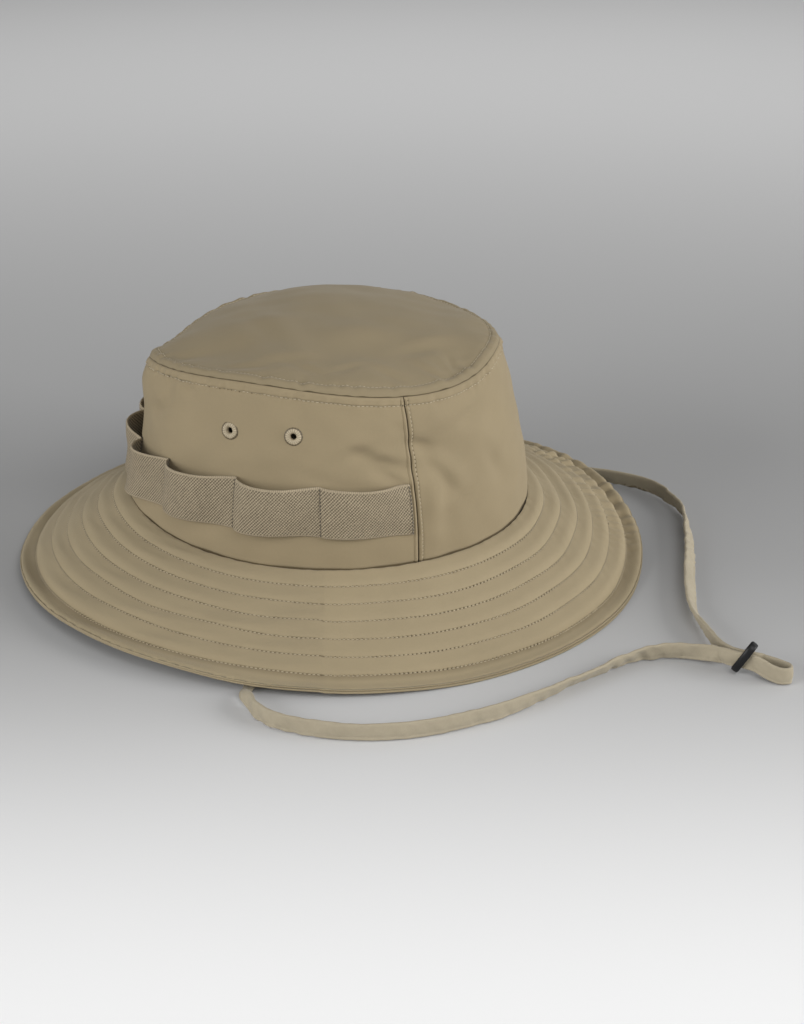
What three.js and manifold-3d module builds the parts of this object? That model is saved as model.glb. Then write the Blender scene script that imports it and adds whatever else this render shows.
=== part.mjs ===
// A bucket-style sun hat: an oval crown of two side panels and a domed top, a wide quilted brim of
// two cloth layers, a webbing band tacked into loops, four sewn eyelets, and a chin strap with a slider.
// Millimetres. +Z is up, -Y is the wearer's front, +X the wearer's left. The hat rests on z = 0.

import * as THREE from "three";
import { mergeVertices } from "three/addons/utils/BufferGeometryUtils.js";
import Module from "manifold-3d";

const wasm = await Module();
wasm.setup();

const { sin, cos, abs, exp, hypot, atan2, max, min, sign, PI } = Math;

// ---- Driving dimensions ----

// Three ovals seen from above, each narrowed towards the front by its egg share.
const FOOT = { halfWidth: 86, halfLength: 101.5, shift: 0, egg: 0.05 };
const SEAM = { halfWidth: 76, halfLength: 87, shift: -1, egg: 0.12 };
const RIM = { halfWidth: 146.5, halfLength: 160.5, shift: 1.4, egg: 0 };

// Heights round the hat. Each is level but for a few soft swells and dips, one row each, at an azimuth
// in degrees, 0 at the wearer's left and 90 at the back. spread is how far a swell reaches each way.
const LEVEL = { rim: 2.5, foot: 34.5, seam: 115, waist: 0 };
const SWELLS = {
  rim: [
    { azimuth: 125, spread: 30, rise: 9.5 },    // the brim lifts behind the right ear
    { azimuth: 320, spread: 40, rise: 7 },      // and again over the left eye
  ],
  foot: [
    { azimuth: 110, spread: 40, rise: 2 },
    { azimuth: 275, spread: 40, rise: 8 },      // the crown's foot climbs at the front
  ],
  seam: [
    { azimuth: 80, spread: 20, rise: 5 },
    { azimuth: 250, spread: 25, rise: -11 },    // the top has sunk at the front right
    { azimuth: 340, spread: 40, rise: 9 },
  ],
  waist: [
    { azimuth: 270, spread: 35, rise: 5.5 },    // how far the front wall draws in half way up
  ],
};

const WALL_HEIGHT = 85;       // from the crown's foot to its top seam, on average
const CLOTH = 1.5;            // crown cloth with its turned edges and seam tape
const BRIM_CLOTH = 1.15;      // each brim layer, measured straight up
const BRIM_GAP = 0.45;        // clearance between the two brim layers
const GAP = 0.3;              // clearance between neighbouring pieces
const APEX = 133.5;           // highest point of the top panel
const DOME_POWER = 2.4;       // how late the top panel turns down towards its seam
const CHANNELS = 7;           // quilted channels between seven rows, counting both edges
const PUFF = 0.8;             // rise of a channel between two stitch rows
const SOLE = 0.06;            // share of the brim's width that lies level at its edge
const COLUMNS = 72;           // steps round the hat

// Soft dents. On the wall: azimuth and height share, and their spread in the same units.
const WALL_DENTS = [
  { azimuth: 31, rise: 0.62, wide: 9, tall: 0.13, depth: 1.6 },
  { azimuth: 39, rise: 0.22, wide: 4, tall: 0.2, depth: 1.4 },
  { azimuth: 62, rise: 0.5, wide: 9, tall: 0.25, depth: 1.2 },
  { azimuth: 320, rise: 0.74, wide: 8, tall: 0.12, depth: 1.0 },
];

// On the top panel: centre and spread across and along, and depth.
const TOP_DENTS = [
  { x: 34, y: -50, wide: 14, long: 20, depth: 2.4 },
  { x: 34, y: 66, wide: 12, long: 10, depth: 1.6 },
  { x: -18, y: 52, wide: 22, long: 12, depth: 1.8 },
];

const PANEL_SEAMS = { near: 26.8, far: 153.2 };   // azimuths of the two upright seams

// The webbing band: where it is tacked down, how high its middle runs there, and how far the loop
// that follows each tack stands off the wall.
const BAND = { width: 25.4, thickness: 1.3, clear: 0.5, stepsPerLoop: 10 };
const TACKS = [
  { azimuth: -205.2, level: 63.5, loop: 6.5 },
  { azimuth: -179.5, level: 65.5, loop: 7 },
  { azimuth: -155, level: 65.5, loop: 6 },
  { azimuth: -129, level: 62.6, loop: 6 },
  { azimuth: -102, level: 60.6, loop: 6 },
  { azimuth: -78, level: 58.8, loop: 5.8 },
  { azimuth: -51, level: 63.8, loop: 6 },
  { azimuth: -25, level: 65.5, loop: 6.5 },
  { azimuth: -0.5, level: 64.8, loop: 4.5 },
  { azimuth: 25.2, level: 62.4, loop: 0 },
];

// Radii of the hole, of the neck through the cloth and of the sewn ring, then the ring's height
// outside and inside, how far its edge is rounded and how far it is held off the cloth.
const EYELET = { hole: 1.7, neck: 2.3, flange: 4.4, crown: 1.1, height: 0.75, round: 0.4, clear: 0.45, sides: 20 };
const EYELET_PLACES = {
  left_front: { degrees: -28, rise: 0.73 },
  left_rear: { degrees: -8, rise: 0.75 },
  right_front: { degrees: 208, rise: 0.75 },
  right_rear: { degrees: 188, rise: 0.75 },
};

const STRAP = { width: 8.5, thickness: 1.8, sides: 8, steps: 80 };

// The strap's centre line. stand is 0 where it lies flat and 90 where it stands on its edge.
const STRAP_ROUTE = [
  { x: 81.5, y: 0, z: 44, stand: 0 },
  { x: 81.5, y: 0, z: 30, stand: 0 },
  { x: 87, y: -0.4, z: 8, stand: 0 },
  { x: 101, y: -9, z: 2.6, stand: 0 },
  { x: 132, y: -30.5, z: 1.3, stand: 2 },
  { x: 144, y: -35, z: 2.35, stand: 16 },
  { x: 148.5, y: -35.4, z: 3.75, stand: 42 },
  { x: 153.5, y: -33.8, z: 4.6, stand: 66 },
  { x: 170, y: -24, z: 4.8, stand: 88 },
  { x: 182, y: 8, z: 4.7, stand: 88 },
  { x: 181, y: 42, z: 4.7, stand: 88 },
  { x: 165, y: 82, z: 4.7, stand: 94 },
  { x: 135, y: 122, z: 4.4, stand: 128 },
  { x: 114, y: 152, z: 4.8, stand: 106 },
  { x: 112, y: 170, z: 5.4, stand: 94 },
  { x: 117, y: 184, z: 6.6, stand: 90 },
  { x: 123.6, y: 193.9, z: 7.9, stand: 90 },
  { x: 127.9, y: 202.5, z: 7.9, stand: 90 },
  { x: 133, y: 211.5, z: 5.1, stand: 90 },
  { x: 134.8, y: 216, z: 4.7, stand: 90 },
  { x: 134, y: 219.3, z: 4.7, stand: 90 },
  { x: 130.8, y: 219.7, z: 4.7, stand: 90 },
  { x: 127.6, y: 216.2, z: 4.8, stand: 90 },
  { x: 125, y: 207, z: 6.8, stand: 90 },
  { x: 125.5, y: 203.4, z: 7.9, stand: 90 },
  { x: 121.6, y: 195.2, z: 7.9, stand: 90 },
  { x: 113.5, y: 190.4, z: 6.7, stand: 90 },
  { x: 100, y: 187, z: 5.4, stand: 82 },
  { x: 72, y: 181, z: 4.5, stand: 56 },
  { x: 35, y: 183, z: 4.3, stand: 50 },
  { x: -5, y: 187, z: 4.5, stand: 60 },
  { x: -42, y: 186, z: 4.75, stand: 78 },
  { x: -66, y: 172, z: 4.8, stand: 84 },
  { x: -80, y: 145, z: 4.75, stand: 76 },
  { x: -89, y: 112, z: 4.2, stand: 52 },
  { x: -98, y: 68, z: 2.1, stand: 8 },
  { x: -101, y: 30, z: 2.3, stand: 0 },
  { x: -87, y: 0.4, z: 8, stand: 0 },
  { x: -81.5, y: 0, z: 30, stand: 0 },
  { x: -81.5, y: 0, z: 44, stand: 0 },
];

// The slider is an oval ring. heading is the strap's direction through it, in degrees from +X.
const SLIDER = {
  x: 124.7, y: 198.7, z: 9.2, slotHigh: 15.4, slotWide: 6.4, wall: 1.5, bevel: 0.5, deep: 2.1,
  heading: 63, lean: 29,
};

const COLOURS = { cloth: "#9b8a6c", webbing: "#978a72", eyelet: "#a08d6c", strap: "#94866a", slider: "#1b1b1b" };

// ---- Shape functions ----

const radians = THREE.MathUtils.degToRad;
const mix = THREE.MathUtils.lerp;

// The difference between two azimuths, in degrees from -180 to 180.
const apart = (azimuth, degrees) =>
  THREE.MathUtils.euclideanModulo(THREE.MathUtils.radToDeg(azimuth) - degrees + 180, 360) - 180;

const bump = (distance, spread) => exp(-((distance / spread) ** 2));

function level(name, azimuth) {
  let height = LEVEL[name];
  for (const swell of SWELLS[name]) {
    height += swell.rise * bump(apart(azimuth, swell.azimuth), swell.spread);
  }
  return height;
}

const rimHeight = (azimuth) => max(level("rim", azimuth), 2 * BRIM_CLOTH + BRIM_GAP);
const footHeight = (azimuth) => level("foot", azimuth);
const seamHeight = (azimuth) => level("seam", azimuth);
const waistDepth = (azimuth) => level("waist", azimuth);

// A point of one of the three ovals, pushed outward along its own normal.
function oval(shape, azimuth, outward = 0) {
  const narrow = 1 - shape.egg * ((1 - sin(azimuth)) / 2) ** 2;
  const along = new THREE.Vector2(cos(azimuth) / shape.halfWidth, sin(azimuth) / shape.halfLength);
  along.normalize();
  return new THREE.Vector2(
    shape.halfWidth * cos(azimuth) * narrow + along.x * outward,
    shape.shift + shape.halfLength * sin(azimuth) + along.y * outward);
}


function wallDent(azimuth, rise) {
  let depth = 0;
  for (const dent of WALL_DENTS) {
    const around = THREE.MathUtils.radToDeg(azimuth) - dent.azimuth;
    const turned = THREE.MathUtils.euclideanModulo(around + 180, 360) - 180;
    depth += dent.depth * bump(turned, dent.wide) * bump(rise - dent.rise, dent.tall);
  }
  return depth;
}

// The crown's side, rise 0 at the foot and 1 at the top seam.
function wallPoint(azimuth, rise, outward) {
  const spread = sin((PI / 2) * (1 - min(rise, 1)));
  const waist = waistDepth(azimuth) * sin(PI * max(rise, 0) ** 0.66) ** 2;
  const push = outward - waist - wallDent(azimuth, rise);
  const flat = oval(SEAM, azimuth, push).lerp(oval(FOOT, azimuth, push), spread);
  return new THREE.Vector3(flat.x, flat.y, mix(footHeight(azimuth), seamHeight(azimuth), rise));
}

function wallAtHeight(azimuth, height, outward) {
  const foot = footHeight(azimuth);
  return wallPoint(azimuth, (height - foot) / (seamHeight(azimuth) - foot), outward);
}

// The domed top, share 0 at its middle and 1 at the seam.
function topPoint(azimuth, share, up) {
  const edge = oval(SEAM, azimuth);
  const x = edge.x * share;
  const y = mix(SEAM.shift, edge.y, share);
  let z = APEX - (APEX - seamHeight(azimuth) - CLOTH) * share ** DOME_POWER;
  for (const dent of TOP_DENTS) {
    z -= dent.depth * bump(x - dent.x, dent.wide) * bump(y - dent.y, dent.long) * (1 - share ** 4);
  }
  return new THREE.Vector3(x, y, z + up);
}

// The brim, across 0 at the crown's foot and 1 at its edge. The last few millimetres lie level.
function brimPoint(azimuth, across, up) {
  const inner = oval(FOOT, azimuth, GAP);
  const outer = oval(RIM, azimuth);
  const flat = inner.lerp(outer, across);
  const fall = min(across / (1 - SOLE), 1);
  return new THREE.Vector3(flat.x, flat.y, mix(footHeight(azimuth), rimHeight(azimuth), fall) + up);
}

function channelPuff(across) {
  const place = (across * CHANNELS) % 1;
  return PUFF * 4 * place * (1 - place);
}

// ---- Mesh helpers ----

// Moves every vertex of a geometry to the place that the map gives for its coordinates.
function warp(geometry, map) {
  const position = geometry.attributes.position;
  for (let i = 0; i < position.count; i += 1) {
    const placed = map(position.getX(i), position.getY(i), position.getZ(i));
    position.setXYZ(i, placed.x, placed.y, placed.z);
  }
  geometry.deleteAttribute("normal");
  geometry.deleteAttribute("uv");
  const merged = mergeVertices(geometry, 1e-4);
  merged.computeVertexNormals();
  return merged;
}

// An open panel: a grid along, high and one step thick, each coordinate running from 0 to 1.
function panel(stepsAlong, stepsHigh, map) {
  const box = new THREE.BoxGeometry(1, 1, 1, stepsAlong, stepsHigh, 1);
  return warp(box, (x, y, z) => map(x + 0.5, y + 0.5, z + 0.5));
}

// A full turn of a closed outline of [across, up] pairs.
function turned(outline, map) {
  const offset = 10;
  const points = outline.map(([across, up]) => new THREE.Vector2(across + offset, up));
  const ring = new THREE.LatheGeometry(points, COLUMNS);
  ring.rotateX(PI / 2);
  return warp(ring, (x, y, z) => map(atan2(y, x), hypot(x, y) - offset, z));
}

function toSolid(geometry) {
  const bare = geometry.clone();
  bare.deleteAttribute("normal");
  bare.deleteAttribute("uv");
  const merged = mergeVertices(bare, 1e-4);
  return new wasm.Manifold(new wasm.Mesh({
    numProp: 3,
    vertProperties: new Float32Array(merged.attributes.position.array),
    triVerts: new Uint32Array(merged.index.array),
  }));
}

function toGeometry(solid) {
  const mesh = solid.getMesh();
  const geometry = new THREE.BufferGeometry();
  geometry.setAttribute("position", new THREE.BufferAttribute(mesh.vertProperties, 3));
  geometry.setIndex(new THREE.BufferAttribute(mesh.triVerts, 1));
  geometry.computeVertexNormals();
  return geometry;
}

const hat = new THREE.Group();

function add(name, geometry, colour, roughness = 0.9) {
  const material = new THREE.MeshStandardMaterial({ color: colour, roughness });
  const mesh = new THREE.Mesh(geometry, material);
  mesh.name = name;
  hat.add(mesh);
  return mesh;
}

// ---- Crown ----

function eyeletFrame({ degrees, rise }) {
  const azimuth = radians(degrees);
  const step = 0.01;
  const centre = wallPoint(azimuth, rise, 0);
  const around = wallPoint(azimuth + step, rise, 0).sub(wallPoint(azimuth - step, rise, 0));
  const upward = wallPoint(azimuth, rise + step, 0).sub(wallPoint(azimuth, rise - step, 0));
  const outward = around.cross(upward).normalize();
  return { centre, turn: new THREE.Quaternion().setFromUnitVectors(new THREE.Vector3(0, 1, 0), outward) };
}

function wallPanel(fromDegrees, toDegrees, stepsHigh) {
  const slack = GAP / 2 / FOOT.halfLength;
  const from = radians(fromDegrees) + slack;
  const to = radians(toDegrees) - slack;
  const below = (2 * BRIM_CLOTH + BRIM_GAP) / WALL_HEIGHT;
  const steps = Math.round((COLUMNS * (to - from)) / (2 * PI));
  return panel(steps, stepsHigh, (along, high, face) => {
    const azimuth = mix(from, to, along);
    return wallPoint(azimuth, mix(-below, 1, high), mix(-CLOTH, 0, face));
  });
}

function cutEyeletHoles(geometry) {
  let solid = toSolid(geometry);
  for (const spot of Object.values(EYELET_PLACES)) {
    const { centre, turn } = eyeletFrame(spot);
    const drill = new THREE.CylinderGeometry(EYELET.neck + GAP, EYELET.neck + GAP, 8 * CLOTH, EYELET.sides);
    drill.applyQuaternion(turn);
    drill.translate(centre.x, centre.y, centre.z);
    solid = solid.subtract(toSolid(drill));
  }
  return toGeometry(solid);
}

function crownTop() {
  const rings = [0, 0.2, 0.4, 0.58, 0.74, 0.86, 0.94, 1];
  const top = rings.map((share) => new THREE.Vector2(share, GAP));
  const under = rings.map((share) => new THREE.Vector2(share, GAP - CLOTH));
  const geometry = new THREE.LatheGeometry([...under, ...top.reverse()], COLUMNS);
  geometry.rotateX(PI / 2);
  return warp(geometry, (x, y, z) => topPoint(atan2(y, x), hypot(x, y), z));
}

function addCrown() {
  const { near, far } = PANEL_SEAMS;
  add("front_wall", cutEyeletHoles(wallPanel(far - 360, near, 6)), COLOURS.cloth);
  add("back_wall", wallPanel(near, far, 6), COLOURS.cloth);
  add("crown_top", crownTop(), COLOURS.cloth);
}

// ---- Brim ----

function addBrim() {
  const rowsPerChannel = 2;
  const count = CHANNELS * rowsPerChannel;
  const quilted = Array.from({ length: count + 1 }, (_, i) => i / count);
  const rows = [0, 0.2, 0.4, 0.6, 0.8, 1 - SOLE, 1];
  const upperTop = quilted.map((across) => [across, channelPuff(across)]);
  const upperFoot = rows.map((across) => [across, -BRIM_CLOTH]);
  const underTop = rows.map((across) => [across, -BRIM_CLOTH - BRIM_GAP]);
  const underFoot = rows.map((across) => [across, -2 * BRIM_CLOTH - BRIM_GAP]);
  const loop = (low, high) => [...low, ...high.slice().reverse(), low[0]];
  add("brim_upper", turned(loop(upperFoot, upperTop), brimPoint), COLOURS.cloth);
  add("brim_under", turned(loop(underFoot, underTop), brimPoint), COLOURS.cloth);
}

// ---- Webbing band ----

// A loop stands off fullest a third of the way along from its front tack.
function loopLift(share, depth) {
  return depth * sin(PI * share) ** 0.8;
}

function addBand() {
  const loops = TACKS.length - 1;
  const middle = (TACKS.length - 1) / 2;
  const steps = loops * BAND.stepsPerLoop;
  add("webbing_band", panel(steps, 1, (along, high, face) => {
    const place = along * loops;
    const index = min(Math.floor(place), loops - 1);
    const share = place - index;
    const from = TACKS[index];
    const to = TACKS[index + 1];
    const skewed = index < middle - 0.5 ? 1 - (1 - share) ** 0.7 : share ** 0.7;
    const azimuth = radians(mix(from.azimuth, to.azimuth, share));
    const level = mix(from.level, to.level, share) + (high - 0.5) * BAND.width;
    return wallAtHeight(azimuth, level, BAND.clear + loopLift(skewed, from.loop) + face * BAND.thickness);
  }), COLOURS.webbing);
}

// ---- Eyelets ----

function eyeletRing() {
  const { hole, neck, flange, crown, height, round, clear, sides } = EYELET;
  const face = clear;
  const back = -CLOTH - clear;
  const outline = [
    [hole, back - height], [flange - round, back - height], [flange - round, back], [neck, back],
    [neck, face], [flange, face], [flange, face + round], [(hole + flange) / 2 + round, face + crown],
    [hole + round, face + crown], [hole, face + crown - round], [hole, back - height],
  ];
  return new THREE.LatheGeometry(outline.map(([x, y]) => new THREE.Vector2(x, y)), sides);
}

function addEyelets() {
  for (const [name, spot] of Object.entries(EYELET_PLACES)) {
    const { centre, turn } = eyeletFrame(spot);
    const mesh = add(`eyelet_${name}`, eyeletRing(), COLOURS.eyelet);
    mesh.position.copy(centre);
    mesh.quaternion.copy(turn);
  }
}

// ---- Chin strap and its slider ----

function strapGeometry() {
  const path = new THREE.CatmullRomCurve3(
    STRAP_ROUTE.map((row) => new THREE.Vector3(row.x, row.y, row.z)), false, "centripetal");
  const section = new THREE.CylinderGeometry(1, 1, 1, STRAP.sides, STRAP.steps);
  const up = new THREE.Vector3(0, 0, 1);
  const square = (value) => sign(value) * abs(value) ** 0.5;
  return warp(section, (x, y, z) => {
    const t = y + 0.5;
    const place = t * (STRAP_ROUTE.length - 1);
    const index = min(Math.floor(place), STRAP_ROUTE.length - 2);
    const stand = radians(mix(STRAP_ROUTE[index].stand, STRAP_ROUTE[index + 1].stand, place - index));
    const tangent = path.getTangent(t);
    const side = new THREE.Vector3(-tangent.y, tangent.x, 0).normalize();
    const rise = new THREE.Vector3().crossVectors(tangent, side);
    const broad = side.clone().multiplyScalar(cos(stand)).addScaledVector(rise, sin(stand));
    const thin = new THREE.Vector3().crossVectors(tangent, broad);
    const reach = hypot(x, z);
    const angle = atan2(z, x);
    return path.getPoint(t)
      .addScaledVector(broad, (reach * square(cos(angle)) * STRAP.width) / 2)
      .addScaledVector(thin, (-reach * square(sin(angle)) * STRAP.thickness) / 2);
  });
}

function rounded(width, height, radius) {
  const x = width / 2;
  const y = height / 2;
  const shape = new THREE.Shape();
  shape.absarc(x - radius, y - radius, radius, 0, PI / 2);
  shape.absarc(-x + radius, y - radius, radius, PI / 2, PI);
  shape.absarc(-x + radius, -y + radius, radius, PI, 1.5 * PI);
  shape.absarc(x - radius, -y + radius, radius, 1.5 * PI, 2 * PI);
  return shape;
}

function sliderGeometry() {
  const { slotHigh, slotWide, wall, bevel, deep } = SLIDER;
  const outline = rounded(slotWide + 2 * wall, slotHigh + 2 * wall, slotWide / 2 + wall - 0.01);
  outline.holes.push(rounded(slotWide + 2 * bevel, slotHigh + 2 * bevel, slotWide / 2 + bevel - 0.01));
  const geometry = new THREE.ExtrudeGeometry(outline, {
    depth: deep, bevelEnabled: true, bevelSize: bevel, bevelThickness: bevel, bevelSegments: 2, curveSegments: 6,
  });
  geometry.translate(0, 0, -deep / 2);
  geometry.rotateX(PI / 2 - radians(SLIDER.lean));
  geometry.rotateZ(radians(SLIDER.heading - 90));
  return geometry;
}

function addStrap() {
  add("chin_strap", strapGeometry(), COLOURS.strap);
  const slider = add("strap_slider", sliderGeometry(), COLOURS.slider, 0.45);
  slider.position.set(SLIDER.x, SLIDER.y, SLIDER.z);
}

addCrown();
addBrim();
addBand();
addEyelets();
addStrap();

export default hat;
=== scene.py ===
# %% [markdown]
# # A soft sun hat, lying on the floor with its chin strap
#
# This lesson dresses a hat that is already measured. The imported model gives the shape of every
# piece as a plain solid. Here each of them is remade as cloth: walls that roll into their seams,
# a brim puffed up between its rows of stitching, woven webbing in loops, and a folded strap.
# Everything is in metres. +Z is up, -Y is the wearer's front and +X the wearer's left.

# %% Load the frame
import math

import bmesh
import bpy
import numpy as np
from mathutils import Matrix, Vector


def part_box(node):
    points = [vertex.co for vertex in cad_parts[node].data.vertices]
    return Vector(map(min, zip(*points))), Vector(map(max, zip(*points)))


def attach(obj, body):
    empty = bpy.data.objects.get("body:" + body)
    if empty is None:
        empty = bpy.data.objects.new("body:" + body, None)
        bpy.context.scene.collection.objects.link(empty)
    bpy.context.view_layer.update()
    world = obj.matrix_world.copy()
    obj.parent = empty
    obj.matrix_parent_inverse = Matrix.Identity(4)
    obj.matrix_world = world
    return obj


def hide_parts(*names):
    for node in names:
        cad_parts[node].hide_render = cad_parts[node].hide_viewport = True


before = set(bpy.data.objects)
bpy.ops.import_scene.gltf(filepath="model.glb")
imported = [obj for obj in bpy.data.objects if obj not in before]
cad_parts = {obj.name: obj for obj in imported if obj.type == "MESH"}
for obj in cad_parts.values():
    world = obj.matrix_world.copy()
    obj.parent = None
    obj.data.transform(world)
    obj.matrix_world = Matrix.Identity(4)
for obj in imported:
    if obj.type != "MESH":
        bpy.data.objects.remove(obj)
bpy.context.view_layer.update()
MM = 0.001

# %% [markdown]
# ## The camera
#
# The camera comes first, because the strap is the one piece that lies outside the hat, and the
# view decides how much of it shows. It stands at the wearer's left and looks down at 27 degrees.
# A long lens from over a metre away keeps the brim's ellipse calm, as a product picture does.

# %% Make the camera
CAMERA_ELEVATION = math.radians(27)
CAMERA_DISTANCE = 1.2
AIM = Vector((0, 0.0376, 0.0222))

camera_data = bpy.data.cameras.new("camera")
camera_data.lens = 81.84
camera_data.sensor_width = 36
camera = bpy.data.objects.new("camera", camera_data)
bpy.context.collection.objects.link(camera)
towards_camera = Vector((math.cos(CAMERA_ELEVATION), 0, math.sin(CAMERA_ELEVATION)))
camera.location = AIM + CAMERA_DISTANCE * towards_camera
camera.rotation_euler = (-towards_camera).to_track_quat("-Z", "Y").to_euler()
bpy.context.scene.camera = camera
bpy.context.scene.view_settings.view_transform = "Standard"
print("camera at", [round(v, 3) for v in camera.location])

# %% [markdown]
# ## Turning grids of points into cloth
#
# Cloth is easiest to think of as a grid: rows run one way, columns the other, and every crossing
# is a point in space. Two such grids, the outside and the inside, joined along their borders,
# make a real shell with a thickness. Each crossing also keeps two lengths in millimetres, in the
# mesh's UV map, so that the weave and the needle holes can be drawn at their true size.

# %% A shell from two grids
def quads(rows, columns, start, flip, closed):
    """Faces of a grid whose first vertex is start."""
    lanes = columns if closed else columns - 1
    row, column = np.meshgrid(np.arange(rows - 1), np.arange(lanes), indexing="ij")
    after = (column + 1) % columns
    low, high = row * columns, (row + 1) * columns
    faces = np.stack([low + column, low + after, high + after, high + column], axis=-1)
    faces = faces.reshape(-1, 4) + start
    return faces[:, ::-1] if flip else faces


def border(front, back):
    """Faces between two matching lines of vertices."""
    return np.stack([front[:-1], back[:-1], back[1:], front[1:]], axis=-1)


def make_object(name, points, faces, uvs=None):
    """A smooth mesh object. points are in millimetres, faces an array or a list of lists."""
    mesh = bpy.data.meshes.new(name)
    mesh.from_pydata(np.asarray(points) * MM, [], faces.tolist() if isinstance(faces, np.ndarray) else faces)
    if uvs is not None:
        corner_vertex = np.empty(len(mesh.loops), dtype=np.int32)
        mesh.loops.foreach_get("vertex_index", corner_vertex)
        for layer_name, values in uvs.items():
            layer = mesh.uv_layers.new(name=layer_name)
            layer.data.foreach_set("uv", values[corner_vertex].astype(np.float32).ravel())
    mesh.polygons.foreach_set("use_smooth", np.ones(len(mesh.polygons), dtype=bool))
    obj = bpy.data.objects.new(name, mesh)
    bpy.context.collection.objects.link(obj)
    return obj


def make_shell(name, outside, inside, closed, maps):
    """A cloth shell from two grids of the same columns. maps holds one grid of UVs per layer name."""
    rows, columns = outside.shape[:2]
    back_rows = inside.shape[0]
    start = rows * columns
    faces = [quads(rows, columns, 0, False, closed), quads(back_rows, columns, start, True, closed)]
    wrap = np.r_[0:columns, 0] if closed else np.arange(columns)
    faces.append(border(wrap, start + wrap))
    faces.append(border((rows - 1) * columns + wrap, start + (back_rows - 1) * columns + wrap)[:, ::-1])
    points = np.concatenate([outside.reshape(-1, 3), inside.reshape(-1, 3)])
    if not closed and rows == back_rows:
        side = np.arange(rows) * columns
        faces.append(border(side, start + side)[:, ::-1])
        faces.append(border(side + columns - 1, start + side + columns - 1))
    uvs = {}
    for layer, grid in maps.items():
        picked = np.linspace(0, rows - 1, back_rows).round().astype(int)
        uvs[layer] = np.concatenate([grid.reshape(-1, 2), grid[picked].reshape(-1, 2)])
    obj = make_object(name, points, np.concatenate(faces), uvs)
    print(f"{name}: {len(obj.data.polygons)} faces")
    return obj


# %% [markdown]
# ## Quiet unevenness
#
# No sewn cloth is as smooth as a formula. A sum of a few slow waves with fixed directions and
# phases is enough to break the evenness, and it gives the same cloth on every run.

# %% Slow waves, soft bumps and lengths
def waves(u, v, size, seed, count=7):
    """Smooth unevenness from -1 to 1 whose bumps are about size wide."""
    dice = np.random.default_rng(seed)
    total = np.zeros(np.broadcast(u, v).shape)
    for _ in range(count):
        angle = dice.uniform(0, 2 * np.pi)
        pitch = 2 * size * dice.uniform(0.7, 1.5)
        phase = dice.uniform(0, 2 * np.pi)
        total = total + np.sin(2 * np.pi * (u * np.cos(angle) + v * np.sin(angle)) / pitch + phase)
    return total / count ** 0.5 / 1.5


def bump(distance, spread):
    return np.exp(-((distance / spread) ** 2))


def smooth_step(low, high, value):
    share = np.clip((value - low) / (high - low), 0, 1)
    return share * share * (3 - 2 * share)


def running_length(line):
    """How far along a line each of its points is."""
    return np.r_[0, np.cumsum(np.linalg.norm(np.diff(line, axis=0), axis=1))]


def full_turn(count):
    """Angles at even steps once round."""
    return np.linspace(0, 2 * np.pi, count, endpoint=False)


def unit(vectors):
    """The same directions, 1 long."""
    return vectors / np.linalg.norm(vectors, axis=-1, keepdims=True)


# %% [markdown]
# ## The chin strap's route
#
# The strap is one length of folded cloth. It hangs from the crown over each ear, comes out under
# the brim, and both branches meet in the slider and turn round in a small loop behind it. Most of
# it stands on its edge, as a narrow stiff strap does when it is dropped. The route is a list: the
# centre line in millimetres, and stand, the lean of the broad side, 0 where it lies flat and 90
# where it stands upright. A curve through the points joins them.

# %% Route and curve
STRAP_ROUTE = [  # x, y, z, stand
    (81.5, 0, 44, 0), (81.5, 0, 30, 0), (87, -0.4, 8, 0), (101, -9, 2.6, 0), (132, -30.5, 1.3, 2),
    (144, -35, 2.35, 16), (148.5, -35.4, 3.75, 42), (153.5, -33.8, 4.6, 66), (170, -24, 4.8, 88),
    (182, 8, 4.7, 88), (181, 42, 4.7, 88), (165, 82, 4.7, 94), (135, 122, 4.4, 128),
    (114, 152, 4.8, 106), (112, 170, 5.4, 94), (117, 184, 6.6, 90), (123.6, 193.9, 7.9, 90),
    (127.9, 202.5, 7.9, 90), (133, 211.5, 5.1, 90), (134.8, 216, 4.7, 90), (134, 219.3, 4.7, 90),
    (130.8, 219.7, 4.7, 90), (127.6, 216.2, 4.8, 90), (125, 207, 6.8, 90),
    (125.5, 203.4, 7.9, 90), (121.6, 195.2, 7.9, 90), (113.5, 190.4, 6.7, 90),
    (100, 187, 5.4, 82), (72, 181, 4.5, 56), (35, 183, 4.3, 50), (-5, 187, 4.5, 60),
    (-42, 186, 4.75, 78), (-66, 172, 4.8, 84), (-80, 145, 4.75, 76), (-89, 112, 4.2, 52),
    (-98, 68, 2.1, 8), (-101, 30, 2.3, 0), (-87, 0.4, 8, 0), (-81.5, 0, 30, 0), (-81.5, 0, 44, 0),
]


def curve_through(points, steps):
    """Centripetal Catmull-Rom curve: even, with no overshoot where points crowd together."""
    points = np.asarray(points, float)
    padded = np.vstack([2 * points[0] - points[1], points, 2 * points[-1] - points[-2]])
    pieces = []
    for p0, p1, p2, p3 in zip(padded, padded[1:], padded[2:], padded[3:]):
        d0, d1, d2 = (np.linalg.norm(b - a) ** 0.5 for a, b in ((p0, p1), (p1, p2), (p2, p3)))
        leave = ((p1 - p0) / d0 - (p2 - p0) / (d0 + d1) + (p2 - p1) / d1) * d1
        arrive = ((p2 - p1) / d1 - (p3 - p1) / (d1 + d2) + (p3 - p2) / d2) * d1
        t = np.linspace(0, 1, steps, endpoint=False)[:, None]
        pieces.append(p1 + t * leave + t ** 2 * (3 * (p2 - p1) - 2 * leave - arrive)
                      + t ** 3 * (2 * (p1 - p2) + leave + arrive))
    return np.vstack([*pieces, points[-1:]])


def evenly(line, spacing, *others):
    """Resamples a line, and anything measured along it, at an even spacing."""
    length = running_length(line)
    places = np.linspace(0, length[-1], int(length[-1] / spacing) + 1)
    columns = [np.interp(places, length, column) for column in line.T]
    return np.stack(columns, axis=1), places, [np.interp(places, length, other) for other in others]


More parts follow.
